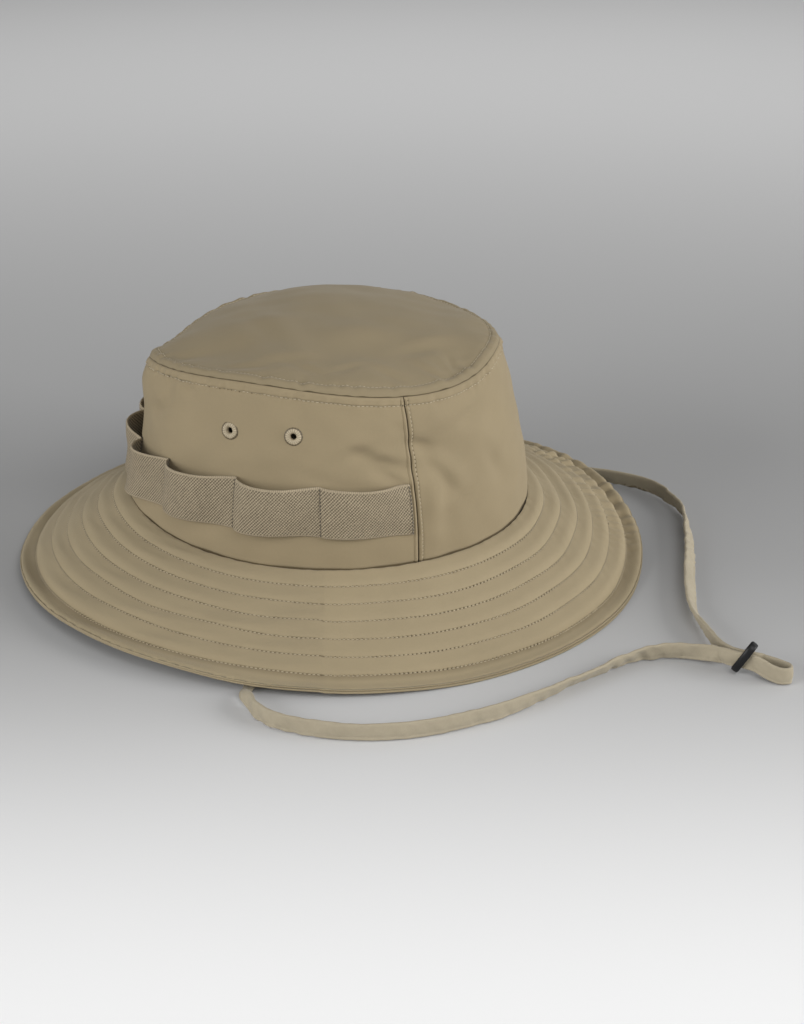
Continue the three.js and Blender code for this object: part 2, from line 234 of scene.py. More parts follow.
route = np.array(STRAP_ROUTE)
STEPS_PER_POINT = 24
fine_line = curve_through(route[:, :3], STEPS_PER_POINT)
fine_stand = np.interp(np.arange(len(fine_line)) / STEPS_PER_POINT, np.arange(len(route)), route[:, 3])
strap_line, strap_along, (strap_stand,) = evenly(fine_line, 0.8, fine_stand)

# %% [markdown]
# ## The strap itself
#
# The real strap is a strip of the hat's cloth, folded in and sewn along one edge. So its section
# is a flat oblong with one rounded edge, the fold, and one edge where two lips meet in a notch,
# just outside the line of stitching. The stitching draws the cloth up into small crinkles, more
# where the strap was bent. Sweeping the section along the route by hand keeps full control of
# how it leans, which a curve's bevel would not.

# %% Sweep the section
UPPER_SECTION = np.array([  # across the width, through the thickness
    (4.25, 0.0), (4.1, 0.5), (3.7, 0.8), (2.6, 0.92), (0.9, 0.98), (-0.9, 0.95), (-2.1, 0.86),
    (-2.7, 0.66), (-3.1, 0.78), (-3.6, 0.9), (-4.05, 0.75), (-4.25, 0.42), (-3.9, 0.1),
])
STRAP_SECTION = np.concatenate([UPPER_SECTION, UPPER_SECTION[:0:-1] * (1, -1)])

STRAP_EXIT = 106.0             # length of strap from its anchor to where it leaves the brim, crumpled
LOWEST = 0.05                  # nothing of the strap or the slider is nearer to the floor, millimetres


def sweep_frames(line, stand):
    """Which way the strap's broad side and its thin side point, all along it."""
    tangent = unit(np.gradient(line, axis=0))
    side = unit(np.stack([-tangent[:, 1], tangent[:, 0], np.zeros(len(line))], axis=1))
    lean = np.radians(stand)[:, None]
    broad = side * np.cos(lean) + np.cross(tangent, side) * np.sin(lean)
    return broad, np.cross(tangent, broad)


def strap_points(line, along, stand):
    broad, thin = sweep_frames(line, stand)
    across, through = STRAP_SECTION.T
    sewn = smooth_step(0.5, -3.5, across)
    folded = smooth_step(-1, 3.5, across)
    gather = 0.35 + 0.65 * smooth_step(-0.2, 0.7, waves(along, 0, 45, 4))
    crinkle = waves(along, 0, 2.6, 5) * gather
    creases = waves(along[:, None] + 1.1 * across[None, :], across[None, :], 3.4, 9) * gather[:, None]
    sway = waves(along, 0, 9, 6)
    crumpled = 1 - 0.52 * bump(along - STRAP_EXIT, 9)
    pinched = smooth_step(0.5, 1.3, waves(along[:, None] + 0.5 * across[None, :], 0 * across[None, :], 7, 41))
    narrowed = (crumpled + 0.03 * waves(along, 0, 14, 7))[:, None]
    width = across[None, :] * narrowed + np.outer(0.42 * crinkle, sewn)
    depth = (through[None, :] * (1 + np.outer(0.35 * waves(along, 0, 3.1, 8) * gather, sewn))
             + np.outer(0.45 * crinkle, sewn) + np.outer(0.2 * sway, folded) + 0.6 * creases
             - 0.6 * pinched)
    return line[:, None, :] + width[..., None] * broad[:, None, :] + depth[..., None] * thin[:, None, :]


strap_grid = strap_points(strap_line, strap_along, strap_stand)
strap_grid[..., 2] = np.maximum(strap_grid[..., 2], LOWEST)
ring = strap_grid.shape[1]
section_along = running_length(STRAP_SECTION)
strap_uv = np.stack(np.broadcast_arrays(strap_along[:, None], section_along[None, :]), axis=-1)
strap_faces = quads(len(strap_line), ring, 0, True, True).tolist()
strap_faces += [list(range(ring)), [len(strap_line) * ring - 1 - i for i in range(ring)]]
strap_maps = {"cloth_mm": strap_uv.reshape(-1, 2)}
strap = make_object("strap_cloth", strap_grid.reshape(-1, 3), strap_faces, strap_maps)
print(f"strap_cloth: {len(strap_faces)} faces, lowest {strap_grid[..., 2].min():.2f} mm")

# %% [markdown]
# ## The slider
#
# The slider is a small moulded ring that both branches pass through. It has tipped forward along
# the strap, so its oval is drawn upright first and then leaned. A rounded section is carried
# round the oval. Its edges are soft, as they come out of a mould.

# %% The slider's ring
SLIDER_HEADING = math.radians(63)
SLIDER_LEAN = math.radians(29)
slider_low, slider_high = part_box("strap_slider")
slider_centre = (slider_low + slider_high) / 2
SLIDER_OVAL = (3.85, 8.4)      # half width and half height of the middle of the ring
SLIDER_SECTION = (1.05, 1.9)   # half thickness and half depth of its wall


def slider_points(sides=64, around=20):
    turn = full_turn(sides)
    spin = full_turn(around)
    blunt = lambda value, power: np.sign(value) * np.abs(value) ** power
    out = SLIDER_SECTION[0] * blunt(np.cos(spin), 0.75)
    deep = SLIDER_SECTION[1] * blunt(np.sin(spin), 0.65)
    wide = SLIDER_OVAL[0] * blunt(np.cos(turn), 0.9)
    high = SLIDER_OVAL[1] * blunt(np.sin(turn), 0.9)
    normal = unit(np.stack([np.cos(turn) / SLIDER_OVAL[0], np.sin(turn) / SLIDER_OVAL[1]], axis=1))
    x = wide[:, None] + normal[:, :1] * out
    z = high[:, None] + normal[:, 1:] * out
    return np.stack([x, np.broadcast_to(deep, x.shape), z], axis=-1)


slider_grid = slider_points()
slider_turn = Matrix.Rotation(SLIDER_HEADING - math.pi / 2, 3, "Z") @ Matrix.Rotation(-SLIDER_LEAN, 3, "X")
slider_world = slider_grid.reshape(-1, 3) @ np.array(slider_turn).T + np.array(slider_centre) / MM
slider_world[:, 2] += max(LOWEST - slider_world[:, 2].min(), 0)
slider_rows, slider_columns = slider_grid.shape[:2]
slider_faces = quads(slider_rows + 1, slider_columns, 0, False, True) % (slider_rows * slider_columns)
slider = make_object("slider_ring", slider_world, slider_faces)
print("slider_ring:", len(slider_faces), "faces")

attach(strap, "root")
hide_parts("chin_strap")
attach(slider, "root")
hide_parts("strap_slider")

# %% [markdown]
# ## The hat's shape as functions
#
# The hat is not round and not level: cloth sags, so the brim's edge, the crown's foot and the top
# seam each run up and down as they go round. Each of these heights is one level plus a few soft
# swells: where a swell is, in degrees of azimuth with 0 at the wearer's left and 90 at the back,
# how far it spreads and how much it rises. The solids have the same swells, so the cloth lies on
# them. A few swells are easier to read and to change than a list of heights all the way round.

# %% Sizes, levels and ovals
FOOT = {"half_width": 86, "half_length": 101.5, "shift": 0, "egg": 0.05}
SEAM = {"half_width": 76, "half_length": 87, "shift": -1, "egg": 0.12}
RIM = {"half_width": 146.5, "half_length": 160.5, "shift": 1.4, "egg": 0}
LEVEL = {"rim": 2.5, "foot": 34.5, "seam": 115, "waist": 0}
SWELLS = {  # azimuth, spread, rise: degrees, degrees, millimetres
    "rim": [(125, 30, 9.5), (320, 40, 7)],
    "foot": [(110, 40, 2), (275, 40, 8)],
    "seam": [(80, 20, 5), (250, 25, -11), (340, 40, 9)],
    "waist": [(270, 35, 5.5)],
}
CLOTH = 1.5
BRIM_CLOTH = 0.7               # one layer, pressed thin by the stitching
BRIM_GAP = 0.1
APEX = 133.5
DOME_POWER = 2.4
SEAM_GAP = 0.3
WALL_HEIGHT = 85.0             # from the crown's foot to the top seam, as a mean


def apart(azimuth, degrees):
    """How far an azimuth is from another one, in degrees from -180 to 180."""
    return (np.degrees(azimuth) - degrees + 180) % 360 - 180


def level(name, azimuth):
    """A base height and its soft swells at any azimuth."""
    height = LEVEL[name]
    for at, spread, rise in SWELLS[name]:
        height = height + rise * bump(apart(azimuth, at), spread)
    return height


def oval(shape, azimuth, outward=0):
    narrow = 1 - shape["egg"] * ((1 - np.sin(azimuth)) / 2) ** 2
    x, y = np.cos(azimuth) / shape["half_width"], np.sin(azimuth) / shape["half_length"]
    size = np.hypot(x, y)
    return np.stack([shape["half_width"] * np.cos(azimuth) * narrow + outward * x / size,
                     shape["shift"] + shape["half_length"] * np.sin(azimuth) + outward * y / size], axis=-1)


def blend_points(a, b, share):
    return a + (b - a) * np.asarray(share)[..., None]


def length_round(shape, azimuth):
    """Millimetres along an oval from azimuth 0."""
    turn = np.linspace(-2 * np.pi, 2 * np.pi, 4001)
    line = oval(shape, turn)
    along = running_length(line)
    return np.interp(azimuth, turn, along - along[2000])


print("head opening:", round(float(length_round(FOOT, 2 * np.pi)) - 2 * np.pi * CLOTH), "mm round")

# %% [markdown]
# ## Dents and folds of the crown
#
# A crown that has been packed and put down keeps a few soft dents. Each is one row: where it is,
# how long and wide it is, which way it runs and how deep. Across a fold, the cloth first rises
# and then sinks, like a wave that has just one crest and one trough, because cloth cannot shrink.

# %% Folds
WALL_DEPTH = 1.25              # every depth in the wall's list is taken this many times
WALL_FOLDS = [  # azimuth, rise, length, width, turn, depth (degrees, share, mm, mm, degrees, mm)
    (-100, 0.86, 34, 11, 0, -2.56), (33, 0.34, 15, 4, 80, -1.3), (30.5, 0.7, 9, 4, 160, 1.7),
    (17, 0.62, 13, 3.4, -25, 1.3), (20, 0.52, 12, 3, -32, 1.2), (12, 0.68, 10, 3.5, 20, 0.8),
    (36, 0.5, 13, 4, -55, 1.3), (24, 0.82, 3, 5, 80, 0.7), (-46, 0.9, 3, 5, 90, 0.9),
    (-22, 0.5, 16, 5, 12, 0.6), (2, 0.5, 14, 4, -15, 0.6), (-60, 0.72, 16, 5, 15, 0.9),
    (50, 0.8, 12, 4, 15, 0.8), (43, 0.3, 14, 4, 40, 0.8), (58, 0.45, 12, 5, -60, 0.8),
    (31, 0.62, 22, 9, 20, 1.5), (37, 0.24, 6, 24, 0, 1.1), (46, 0.55, 26, 9, -35, 0.8),
    (62, 0.45, 10, 30, 0, 0.9), (20, 0.63, 22, 8, 25, 0.8), (8, 0.58, 14, 7, 60, 0.5),
    (-56, 0.93, 5, 12, 0, 0.7), (-40, 0.74, 14, 18, 0, 0.6), (-12, 0.35, 30, 12, 5, -0.5),
    (80, 0.6, 12, 26, 10, 0.7), (110, 0.5, 26, 14, -25, 1.1), (135, 0.6, 22, 12, 30, 1),
    (170, 0.62, 26, 12, -20, 1.2), (205, 0.7, 22, 14, 25, 1), (240, 0.72, 30, 16, -5, 1.4),
    (268, 0.75, 12, 26, 0, 1.2), (292, 0.7, 22, 14, 30, 1),
]
TOP_DEPTH = 1.45               # every depth in the next list is taken this many times
TOP_FOLDS = [  # x, y, length, width, turn, depth
    (34, -50, 26, 14, 60, 2.2), (34, 66, 12, 10, 0, 1.5), (-18, 52, 22, 14, 0, 1.8),
    (30, -10, 30, 11, 80, 0.7), (38, 20, 26, 10, 110, 1.1), (10, 34, 34, 13, 95, 0.8),
    (44, 58, 9, 3, 45, 0.55), (47, 62, 8, 2.6, 95, 0.5), (43, 66, 9, 3, 140, 0.5),
    (8, -52, 26, 12, 60, 0.9), (-30, -30, 30, 14, 20, 1.2), (-40, 20, 26, 12, 100, 1),
    (46, -68, 14, 6, 40, 1.1), (52, -20, 16, 4, 95, 0.7), (30, 50, 16, 4, 120, 0.8),
    (20, -30, 22, 6, 30, 0.8), (56, 30, 9, 3, 70, 0.6), (30, -68, 10, 4, 70, 0.7),
]
TOP_WRINKLES = [  # the same, for fine wrinkles at their own depth
    (40, 62, 10, 2.4, 20, 0.9), (48, 52, 9, 2.2, 70, 0.8), (36, 70, 8, 2.2, 110, 0.8),
    (50, 66, 7, 2, 150, 0.7), (58, -8, 8, 2.2, 60, 0.7), (56, 12, 8, 2.2, 120, 0.7),
    (54, -36, 12, 2.6, 75, 0.8),
]
WAVE_RADIUS, FOLD_RADIUS = 95, 90     # millimetres of wall in a radian, for its waves and its folds


def fold(u, v, length, width, turn, depth):
    """One dent at the origin of u, v, with turn in degrees."""
    turn = np.radians(turn)
    along = u * np.cos(turn) + v * np.sin(turn)
    across = -u * np.sin(turn) + v * np.cos(turn)
    shape = bump(across, width) - 0.45 * bump(across - 1.6 * width, width)
    return depth * shape * bump(along, length)


def wall_relief(azimuth, rise):
    height, around = WALL_HEIGHT * rise, WAVE_RADIUS * azimuth
    total = 0.6 * waves(around, height, 26, 11) + 0.2 * waves(around, height, 9, 12)
    for at, up, length, width, turn, depth in WALL_FOLDS:
        aside = FOLD_RADIUS * np.radians(apart(azimuth, at))
        total = total - fold(aside, height - WALL_HEIGHT * up, length, width, turn, WALL_DEPTH * depth)
    return total


def top_relief(x, y):
    total = 0.7 * waves(x, y, 26, 13) + 0.22 * waves(x, y, 9, 14)
    for rows, deeper in ((TOP_FOLDS, TOP_DEPTH), (TOP_WRINKLES, 1)):
        for at_x, at_y, length, width, turn, depth in rows:
            total = total - fold(x - at_x, y - at_y, length, width, turn, deeper * depth)
    return total


# %% [markdown]
# ## Seams, rolls and stitch rows
#
# Where two panels are sewn together their edges turn inwards, so the seam is a narrow valley with
# a rolled cloth edge on each side. Topstitching a few millimetres away holds the turned cloth
# flat: the needle line is pressed in, and the cloth between needle line and seam stands proud. It
# also gathers the cloth a little, which shows as tiny ripples square to the row.

# %% The relief of a seam
TOPSTITCH = 4.2                # from the top seam to the stitch rows beside it, millimetres
UPRIGHT_STITCH = 1.9           # from an upright seam to the row beside it


def seam_relief(distance, along, row, seed, ripple=0.55):
    """Height of the cloth at a distance from a seam, stitched at row."""
    roll = -0.35 * bump(distance, 0.2)
    proud = 0.5 * smooth_step(0.1, 1.2, distance) * smooth_step(row + 0.3, row - 0.7, distance)
    line = -0.3 * bump(distance - row, 0.45)
    gathers = ripple * waves(along, 0 * along, 3.0, seed) * bump(distance - 0.7 * row, 0.75 * row)
    return roll + proud + line + gathers


def crowded(length, spacing, dense, marks=()):
    """Places from 0 to length, close together near 0 and near each mark."""
    near = np.array([0, 0.2, 0.45, 0.75, 1.1, 1.6, 2.2, 2.9])
    places = [np.arange(0, length, spacing), [length], near]
    for mark in marks:
        places.append(mark + dense * np.array([-1, -0.5, 0, 0.5, 1]))
    places = np.unique(np.clip(np.concatenate(places), 0, length).round(3))
    keep = np.r_[True, np.diff(places) > 0.12]
    return places[keep]


# %% [markdown]
# ## The crown's walls
#
# Two panels stand round the head, sewn together behind each ear. The wall swells a little towards
# its foot, and at the front it is drawn in, because the cloth there has been pinched by handling.
# Each panel is a grid: columns go round, rows go up, and both crowd together at the seams.

# %% Build the walls
PANEL_SEAMS = (26.8, 153.2)


def wall_base(azimuth, rise, outward):
    spread = np.sin(np.pi / 2 * (1 - np.minimum(rise, 1)))
    waist = level("waist", azimuth) * np.sin(np.pi * np.maximum(rise, 0) ** 0.66) ** 2
    push = outward - waist
    flat = blend_points(oval(SEAM, azimuth, push), oval(FOOT, azimuth, push), spread)
    foot, seam = level("foot", azimuth), level("seam", azimuth)
    return np.concatenate([flat, (foot + (seam - foot) * rise)[..., None]], axis=-1)


def wall_height(azimuth):
    return level("seam", azimuth) - level("foot", azimuth)


EYELETS = {  # azimuth in degrees, and how far up the wall
    "left_front": (-28, 0.73), "left_rear": (-8, 0.75),
    "right_front": (208, 0.75), "right_rear": (188, 0.75),
}
EYELET_HOLE = 2.4              # radius of the cloth that is cut away


def eyelet_place(degrees, rise):
    """Centre and outward direction of an eyelet, on the cloth."""
    at, step = np.radians(degrees), 0.01
    outward = np.cross(wall_base(at + step, rise, 0) - wall_base(at - step, rise, 0),
                       wall_base(at, rise + step, 0) - wall_base(at, rise - step, 0))
    centre = wall_base(at, rise, wall_relief(at, rise))
    return centre, unit(outward)


def wall_surface(azimuth, rise, edge):
    """How far a wall stands proud. edge is the distance to its upright seam in millimetres."""
    below_seam = (1 - rise) * WALL_HEIGHT
    along = length_round(SEAM, azimuth)
    height = rise * wall_height(azimuth)
    relief = wall_relief(azimuth, rise) * smooth_step(0, 7, below_seam)
    relief = relief + seam_relief(below_seam, along, TOPSTITCH, 21)
    relief = relief + seam_relief(edge, height, UPRIGHT_STITCH, 22, 0.07) * smooth_step(0, 1.5, below_seam)
    relief = relief - 0.4 * bump(height, 0.4)
    return relief, along, below_seam, height


def cut_eyelet_holes(wall):
    """Takes out the cloth where an eyelet goes through. The eyelet hides the cut edge."""
    work = bmesh.new()
    work.from_mesh(wall.data)
    work.faces.ensure_lookup_table()
    middles = np.array([face.calc_center_median() for face in work.faces]) / MM
    gone = np.zeros(len(middles), bool)
    for degrees, rise in EYELETS.values():
        centre, outward = eyelet_place(degrees, rise)
        away = middles - centre
        depth = away @ outward
        aside = np.linalg.norm(away - depth[:, None] * outward, axis=1)
        gone |= (aside < EYELET_HOLE) & (np.abs(depth) < 8)
    bmesh.ops.delete(work, geom=[work.faces[i] for i in np.flatnonzero(gone)], context="FACES")
    work.to_mesh(wall.data)
    work.free()
    print("eyelet holes:", int(gone.sum()), "faces cut")


def build_wall(name, from_degrees, to_degrees, node):
    start, stop = np.radians(from_degrees), np.radians(to_degrees)
    width = length_round(FOOT, stop) - length_round(FOOT, start) - SEAM_GAP
    half = crowded(width / 2, 1.25, 0.4, [UPRIGHT_STITCH])
    across = np.unique(np.r_[half, width - half].round(3))
    azimuth = start + (across + SEAM_GAP / 2) / (width + SEAM_GAP) * (stop - start)
    edge = np.minimum(across, width - across)
    down = crowded(WALL_HEIGHT, 1.2, 0.35, [TOPSTITCH])
    foot = np.array([0.25, 0.6, 1.0, 1.6]) / WALL_HEIGHT
    rise = np.unique(np.r_[1 - down / WALL_HEIGHT, foot, -0.006, -0.012, -0.024].round(5))
    grid_azimuth, grid_rise = np.meshgrid(azimuth, rise)
    relief, along, below_seam, height = wall_surface(grid_azimuth, grid_rise, edge[None, :])
    outside = wall_base(grid_azimuth, grid_rise, relief)
    inside = wall_base(grid_azimuth, grid_rise, relief * 0.6 - CLOTH)
    maps = {
        "cloth_mm": np.stack([along, height], axis=-1),
        "seam_mm": np.stack([along, below_seam], axis=-1),
        "edge_mm": np.stack([height, np.broadcast_to(edge, height.shape)], axis=-1),
    }
    wall = make_shell(name, outside, inside, False, maps)
    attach(wall, "root")
    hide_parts(node)
    return wall


front_wall = build_wall("front_wall_cloth", PANEL_SEAMS[1] - 360, PANEL_SEAMS[0], "front_wall")
cut_eyelet_holes(front_wall)
back_wall = build_wall("back_wall_cloth", *PANEL_SEAMS, "back_wall")

# %% [markdown]
# ## The domed top
#
# The top is one oval piece of cloth, eased into the seam so that it domes. A polar grid suits it:
# rings from the middle to the seam, with the rings crowded where the seam rolls in.

# %% Build the top
TOP_COLUMNS = 420
TOP_REACH = 80.0               # from the middle of the top to its seam, as a mean


def top_surface(azimuth, share, relief_share=1.0, up=0.0):
    edge = oval(SEAM, azimuth)
    x = edge[..., 0] * share
    y = SEAM["shift"] + (edge[..., 1] - SEAM["shift"]) * share
    along = length_round(SEAM, azimuth)
    inward = (1 - share) * TOP_REACH
    z = APEX - (APEX - level("seam", azimuth) - CLOTH) * share ** DOME_POWER
    soft = top_relief(x, y) * smooth_step(0, 9, inward)
    sewn = seam_relief(inward, along, TOPSTITCH, 23)
    z = z + relief_share * (soft + sewn) + up
    return np.stack([x, y, z], axis=-1), along, inward


def build_top():
    share = 1 - crowded(TOP_REACH, 1.5, 0.35, [TOPSTITCH]) / TOP_REACH
    azimuth = full_turn(TOP_COLUMNS)
    grid_share, grid_azimuth = np.meshgrid(share, azimuth, indexing="ij")
    outside, along, to_seam = top_surface(grid_azimuth, grid_share, 1.0, SEAM_GAP)
    outside[..., 2] -= (CLOTH - 0.25) * bump(to_seam, 0.9)       # the edge is turned in
    inside, _, _ = top_surface(grid_azimuth, grid_share, 0.6, SEAM_GAP - CLOTH)
    maps = {
        "cloth_mm": outside[..., :2],
        "seam_mm": np.stack([along, to_seam], axis=-1),
    }
    top = make_shell("crown_top_cloth", outside, inside, True, maps)
    work = bmesh.new()
    work.from_mesh(top.data)
    bmesh.ops.remove_doubles(work, verts=work.verts, dist=1e-7)
    work.to_mesh(top.data)
    work.free()
    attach(top, "root")
    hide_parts("crown_top")
    return top


crown_top = build_top()

# %% [markdown]
# ## The brim
#
# The brim is two layers of cloth, quilted together by six rows of stitching that run right round.
# Between two rows the cloth puffs up. Outside the last row the edge is turned in, so it is a
# thicker, softer lip that curls up a little. Each layer is a ring of its own: the upper one
# carries the puffs, the lower one shows as a second edge below it.

# %% Brim shape
CHANNELS = 7
CHANNEL_WIDTH = 9.0
BRIM_COLUMNS = 620
PUFF, UNDER_PUFF = 1.5, 0.35    # how far the upper and the lower layer puff between rows
BRIM_LOWEST = 0.02
SOLE = 0.06                    # the outermost share of the brim, which lies level
REST_LAYERS = 2.75             # both layers of the solid brim, where it lies on the floor


def rim_height(azimuth):
    """The upper face at the edge. Where the brim lies on the floor, the thin layers settle on it."""
    solid = np.maximum(level("rim", azimuth), REST_LAYERS)
    settle = REST_LAYERS - 2 * BRIM_CLOTH - BRIM_GAP
    return solid - settle * smooth_step(5.5, REST_LAYERS, solid)


def brim_base(azimuth, across, up):
    around = length_round(FOOT, azimuth)
    wander = 0.008 * waves(around, 55 * across, 13, 34) * np.sin(np.pi * np.clip(across, 0, 1))
    flat = blend_points(oval(FOOT, azimuth, SEAM_GAP), oval(RIM, azimuth), across + wander)
    fall = np.minimum(across / (1 - SOLE), 1)
    z = level("foot", azimuth) + (rim_height(azimuth) - level("foot", azimuth)) * fall + up
    return np.concatenate([flat, z[..., None]], axis=-1)


def channel_relief(azimuth, across, puff, seed):
    """The puffs between the rows, and slow, the unevenness that both layers share."""
    place = across * CHANNELS
    channel = np.minimum(np.floor(place), CHANNELS - 1)
    share = place - channel
    along = length_round(FOOT, azimuth) * (1 + 0.55 * across)
    stretched = bump(apart(azimuth, 8), 48)
    puff = puff * (1 - 0.7 * stretched)
    rounded = np.sin(np.pi * np.clip(share, 0, 1) ** 2.0) ** 0.85
    uneven = 1 + 0.22 * waves(along, 60 * channel, 16, seed + 2)
    lip = puff * (1.0 * smooth_step(0.25, 0.7, share) - 0.6 * smooth_step(0.82, 1.0, share))
    height = np.where(channel == CHANNELS - 1, lip, puff * rounded * uneven)
    row = np.abs(place - np.round(place)) * CHANNEL_WIDTH
    sewn = (place > 0.5) & (place < CHANNELS - 0.5)
    ripples = 0.16 * waves(along, 3 * channel, 3.4, seed) * bump(row, 2.6)
    past_last = place - (CHANNELS - 1)
    hollow = 2.1 * (1 - 0.9 * stretched) * bump(past_last, np.where(past_last > 0, 0.34, 0.08))
    slow = 0.5 * waves(along, 40 * across, 34, seed + 1) * smooth_step(0, 0.3, across) - hollow
    foot = -0.35 * bump(place * CHANNEL_WIDTH, 0.5)
    return height + foot + np.where(sewn, ripples - 0.1 * bump(row, 0.4), ripples), slow, along


def gathered_edge(azimuth, across):
    """The outer channel is puckered at the back, where the cloth is eased in."""
    degrees = np.degrees(azimuth) % 360
    behind = smooth_step(78, 96, degrees) * smooth_step(150, 128, degrees)
    along = length_round(RIM, azimuth)
    ripple = np.sin(along * 2 * np.pi / 10.5 + 2.2 * waves(along, 0 * along, 24, 33))
    place = across * CHANNELS
    crowd = waves(along, 14 * across, 4.2, 35) * bump(place - 5.6, 1.5)
    outermost = 0.6 * bump(place - 6.35, 0.28) + 0.3 * smooth_step(6.4, 7, place)
    return behind * (ripple * outermost + 1.1 * crowd)


def brim_top(azimuth, across):
    """The upper face of the brim, as sewn."""
    relief, slow, _ = channel_relief(azimuth, across, PUFF, 31)
    edge_round = -0.4 * smooth_step(0.988, 1.0, across)
    return brim_base(azimuth, across, relief + slow + gathered_edge(azimuth, across) + edge_round)


# %% Build both layers
def build_brim(name, node, top, steps):
    azimuth = full_turn(BRIM_COLUMNS)
    share = (1 - np.cos(np.pi * np.arange(steps) / steps)) / 2
    across = np.r_[np.add.outer(np.arange(CHANNELS), share).ravel() / CHANNELS, 0.994, 1.0]
    grid_across, grid_azimuth = np.meshgrid(across, azimuth, indexing="ij")
    relief, slow, along = channel_relief(grid_azimuth, grid_across, PUFF if top else UNDER_PUFF, 31)
    pucker = gathered_edge(grid_azimuth, grid_across)
    down = -BRIM_CLOTH - BRIM_GAP
    if top:
        outer = brim_top(grid_azimuth, grid_across)
        inner = brim_base(grid_azimuth, grid_across, slow + pucker - BRIM_CLOTH)
    else:
        side = apart(grid_azimuth, 0)
        beyond = 1.1 * smooth_step(-30, 8, side) * smooth_step(78, 55, side) * grid_across ** 6
        push = (oval(RIM, grid_azimuth, 1) - oval(RIM, grid_azimuth, 0)) * beyond[..., None]
        outer = brim_base(grid_azimuth, grid_across, down + slow + pucker)
        inner = brim_base(grid_azimuth, grid_across, down + slow + pucker - BRIM_CLOTH - 0.5 * relief)
        outer[..., :2] += push
        inner[..., :2] += push
    for grid in (outer, inner):
        grid[..., 2] = np.maximum(grid[..., 2], BRIM_LOWEST)
    maps = {
        "cloth_mm": np.stack([along, grid_across * CHANNELS * CHANNEL_WIDTH], axis=-1),
        "seam_mm": np.stack([along, grid_across * CHANNELS], axis=-1),   # the second counts channels
    }
    maps = {key: grid[::-1] for key, grid in maps.items()}
    brim = make_shell(name, outer[::-1], inner[::-1], True, maps)
    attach(brim, "root")
    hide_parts(node)
    return brim


brim_upper = build_brim("brim_upper_cloth", "brim_upper", True, 10)
brim_under = build_brim("brim_under_cloth", "brim_under", False, 5)

# %% [markdown]
# ## Thread
#
# A row of machine stitching is a row of short, plump loops of thread that dive into the cloth at
# both ends. One small tube with bent ends stands for a stitch. All stitches of a row are placed at
# once from three lists: where each is, which way it runs, and which way is out of the cloth.

# %% Stitch maker
STITCH_PITCH = 2.1


def thread(name, rows, radius, length=1.4, lift=0.12):
    """All stitches of some rows. A row is three lists: places, directions and ways out."""
    places, along, outward = (np.concatenate(part) for part in zip(*rows))
    run = np.array([-1, -0.8, -0.35, 0.35, 0.8, 1])
    spin = full_turn(6)
    arch = lift - (lift + 0.3) * np.abs(run) ** 4
    side = unit(np.cross(along, outward))
    middle = (places[:, None] + along[:, None] * (run * length / 2)[None, :, None]
              + outward[:, None] * arch[None, :, None])
    ring = radius * (np.cos(spin)[:, None, None] * side[None] + np.sin(spin)[:, None, None] * outward[None])
    points = middle[:, :, None] + ring.transpose(1, 0, 2)[:, None]
    one = quads(len(run), len(spin), 0, True, True)
    faces = (one[None] + (np.arange(len(places)) * len(run) * len(spin))[:, None, None]).reshape(-1, 4)
    made = make_object(name, points.reshape(-1, 3), faces)
    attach(made, "root")
    print(f"{name}: {len(places)} stitches, {2 * len(faces)} triangles")
    return made


def directions(surface, azimuth):
    """Places, directions and outward normals of stitches round a surface at even steps."""
    here, ahead = surface(azimuth, 0), surface(azimuth + 0.004, 0)
    along = unit(ahead - here)
    return here, along, unit(np.cross(along, surface(azimuth, 1) - here))


def even_azimuths(shape, share, start=0.0, stop=2 * np.pi):
    """Azimuths one stitch apart, where share is how far out from FOOT towards RIM."""
    turn = np.linspace(start, stop, 3000)
    line = blend_points(oval(FOOT, turn), oval(shape, turn), share)
    along = running_length(line)
    return np.interp((np.arange(int(along[-1] / STITCH_PITCH)) + 0.5) * STITCH_PITCH, along, turn)


# %% Stitches of the brim
def brim_row(row):
    surface = lambda azimuth, step: brim_top(azimuth, np.full(len(azimuth), (row - 0.12 * step) / CHANNELS))
    return directions(surface, even_azimuths(RIM, row / CHANNELS))


brim_stitches = thread("brim_stitches", [brim_row(row) for row in range(1, CHANNELS)], 0.2)

# %% Stitches of the crown
FAR_FROM_SEAMS = 20.0          # where an upright seam no longer shapes the wall, millimetres


def wall_row(azimuth, step):
    rise = np.full(len(azimuth), 1 - (TOPSTITCH - 0.8 * step) / WALL_HEIGHT)
    relief, *_ = wall_surface(azimuth, rise, np.full(len(azimuth), FAR_FROM_SEAMS))
    return wall_base(azimuth, rise, relief)


def top_row(azimuth, step):
    share = np.full(len(azimuth), 1 - (TOPSTITCH + 0.8 * step) / TOP_REACH)
    return top_surface(azimuth, share, 1.0, SEAM_GAP)[0]


SEAM_RADIUS = 92.0             # millimetres of wall in a radian, beside the upright seams


def upright_row(seam, sign):
    """The row beside an upright seam, on the back wall."""
    rise = np.arange(1.5, WALL_HEIGHT - 4, STITCH_PITCH) / WALL_HEIGHT
    edge = np.full(len(rise), UPRIGHT_STITCH)
    at = np.radians(seam) + (UPRIGHT_STITCH + SEAM_GAP / 2) * (sign / SEAM_RADIUS)

    def point(azimuth, up):
        azimuth = np.full(len(up), azimuth)
        return wall_base(azimuth, up, wall_surface(azimuth, up, edge)[0])

    here, ahead, beside = point(at, rise), point(at, rise + 0.004), point(at - 0.01, rise)
    along = unit(ahead - here)
    return here, along, unit(np.cross(along, beside - here))


seam_azimuths = even_azimuths(SEAM, 1.0)
crown_rows = [directions(wall_row, seam_azimuths), directions(top_row, seam_azimuths),
              upright_row(PANEL_SEAMS[0], 1), upright_row(PANEL_SEAMS[1], -1)]
crown_stitches = thread("crown_stitches", crown_rows, 0.24)

